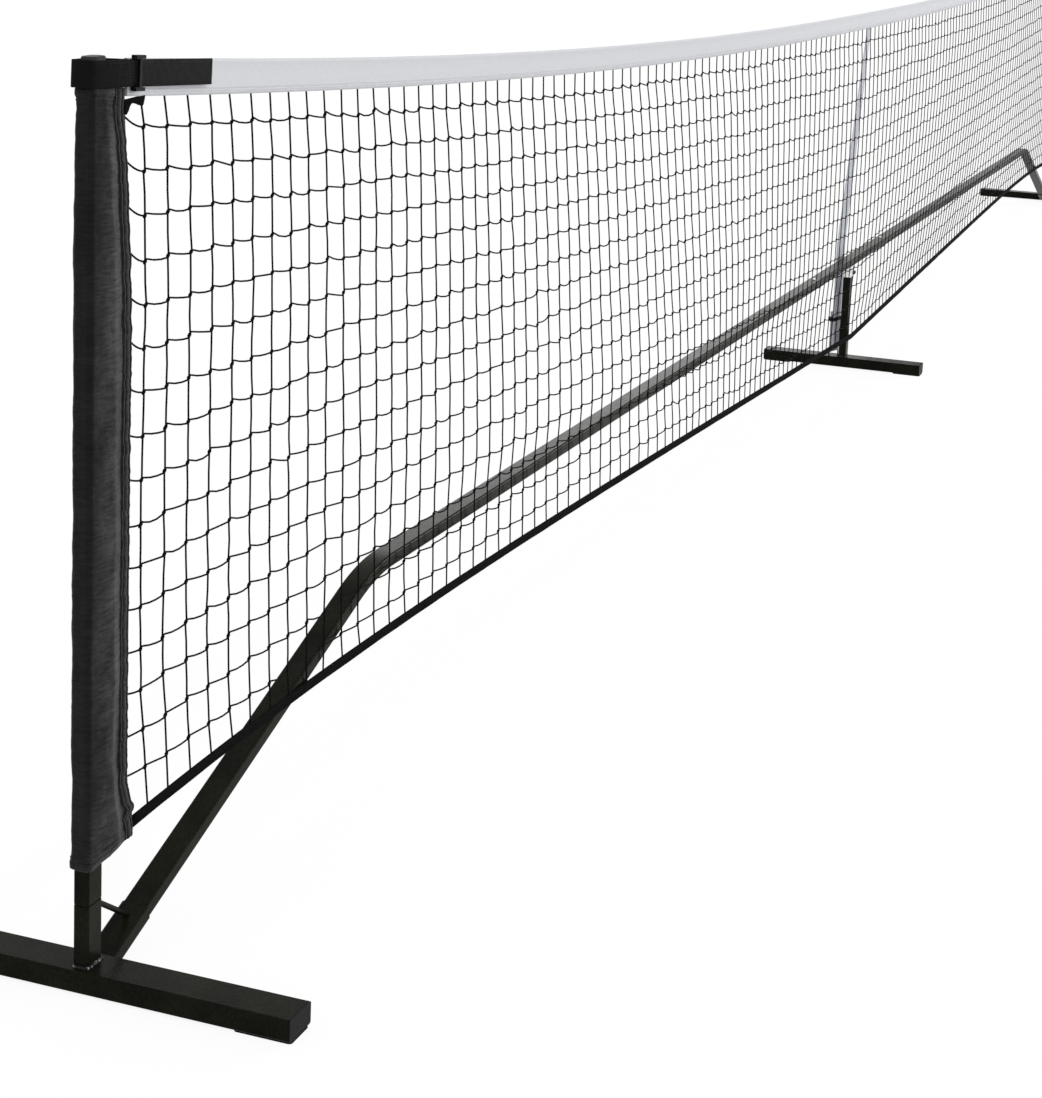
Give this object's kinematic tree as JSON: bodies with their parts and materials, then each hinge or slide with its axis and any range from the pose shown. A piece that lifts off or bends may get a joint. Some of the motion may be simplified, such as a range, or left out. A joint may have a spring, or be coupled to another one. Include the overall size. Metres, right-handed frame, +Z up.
{
  "type": "portable pickleball net",
  "caption": "Free-standing portable net: plug-together flat steel tube frame on three feet, with a knotted net, white top band and sleeves strapped to two posts.",
  "frame": {"origin": "on the floor, midway between the two posts, in the plane of the tube frame", "axes": "+X along the net to the right-hand post, +Y across the net to the back of the frame (the net hangs on the -Y side), +Z up"},
  "size_m": [6.7516, 0.467, 0.9192],
  "materials": {
    "powder_black": "semi-gloss black powder coat with a fine orange peel",
    "zinc": "bright zinc-plated steel",
    "weld": "bare weld metal, dull grey",
    "wire_black": "black-coated steel wire",
    "cap_black": "matt black moulded plastic",
    "cap_grey": "dark grey moulded plastic",
    "rubber_black": "matt black rubber",
    "net_cord": "knotted black twine",
    "band_white": "white coated fabric with a soft sheen",
    "cord_white": "white braided cord",
    "tape_black": "black woven tape",
    "sleeve_black": "black ribbed nylon fabric",
    "webbing_black": "black polypropylene webbing",
    "strap_white": "white polyester webbing",
    "slider_black": "black moulded plastic"
  },
  "bodies": {
    "frame": {"foot_left": "powder_black", "foot_right": "powder_black", "foot_centre": "powder_black", "foot_caps_left": "cap_black", "foot_caps_right": "cap_black", "foot_caps_centre": "cap_black", "foot_pads_left": "rubber_black", "foot_pads_right": "rubber_black", "foot_pads_centre": "rubber_black", "upright_stub_left": "powder_black", "upright_stub_right": "powder_black", "angled_stub_left": "powder_black", "angled_stub_right": "powder_black", "brace_rod_left": "powder_black", "brace_rod_right": "powder_black", "weld_beads": "weld", "end_tube_left": "powder_black", "end_tube_right": "powder_black", "outer_bar_left": "powder_black", "outer_bar_right": "powder_black", "inner_bar_left": "powder_black", "inner_bar_right": "powder_black", "outer_insert_left": "zinc", "outer_insert_right": "zinc", "mid_insert_left": "zinc", "mid_insert_right": "zinc", "tee_insert_left": "zinc", "tee_insert_right": "zinc", "tee_bar": "powder_black", "tee_leg": "zinc", "centre_upright": "powder_black", "net_hook": "wire_black", "strap_anchor": "wire_black", "button_spring_left": "zinc", "button_spring_right": "zinc", "net_mesh": "net_cord", "top_band": "band_white", "top_cord": "cord_white", "bottom_tape": "tape_black", "sleeve_left": "sleeve_black", "sleeve_right": "sleeve_black", "corner_tab_left": "sleeve_black", "corner_tab_right": "sleeve_black", "post_strap_left": "webbing_black", "post_strap_right": "webbing_black", "centre_strap": "strap_white"},
    "left_post": {"post_left": "powder_black", "post_spigot_left": "zinc", "post_cap_left": "cap_grey"},
    "right_post": {"post_right": "powder_black", "post_spigot_right": "zinc", "post_cap_right": "cap_grey"},
    "left_button": {"snap_button_left": "zinc"},
    "right_button": {"snap_button_right": "zinc"},
    "left_strap_slider": {"strap_slider_left": "slider_black"},
    "right_strap_slider": {"strap_slider_right": "slider_black"},
    "centre_strap_slider": {"centre_slider": "slider_black"}
  },
  "joints": [
    {"name": "lift_left_post", "type": "slide", "parent": "frame", "child": "left_post", "axis": [0, 0, 1], "range_m": [0, 0.05]},
    {"name": "lift_right_post", "type": "slide", "parent": "frame", "child": "right_post", "axis": [0, 0, 1], "range_m": [0, 0.05]},
    {"name": "press_left_button", "type": "slide", "parent": "frame", "child": "left_button", "axis": [0, 0, -1], "range_m": [0, 0.0044], "stiffness_N_per_m": 800, "springref_m": -0.003, "deforming": ["button_spring_left"]},
    {"name": "press_right_button", "type": "slide", "parent": "frame", "child": "right_button", "axis": [0, 0, -1], "range_m": [0, 0.0044], "stiffness_N_per_m": 800, "springref_m": -0.003, "deforming": ["button_spring_right"]},
    {"name": "slide_left_strap_slider", "type": "slide", "parent": "frame", "child": "left_strap_slider", "axis": [0.9986, 0, -0.0531], "range_m": [0, 0.13]},
    {"name": "slide_right_strap_slider", "type": "slide", "parent": "frame", "child": "right_strap_slider", "axis": [-0.9986, 0, -0.0531], "range_m": [0, 0.13]},
    {"name": "slide_centre_strap_slider", "type": "slide", "parent": "frame", "child": "centre_strap_slider", "axis": [0, 0, 1], "range_m": [-0.045, 0.09]}
  ]
}
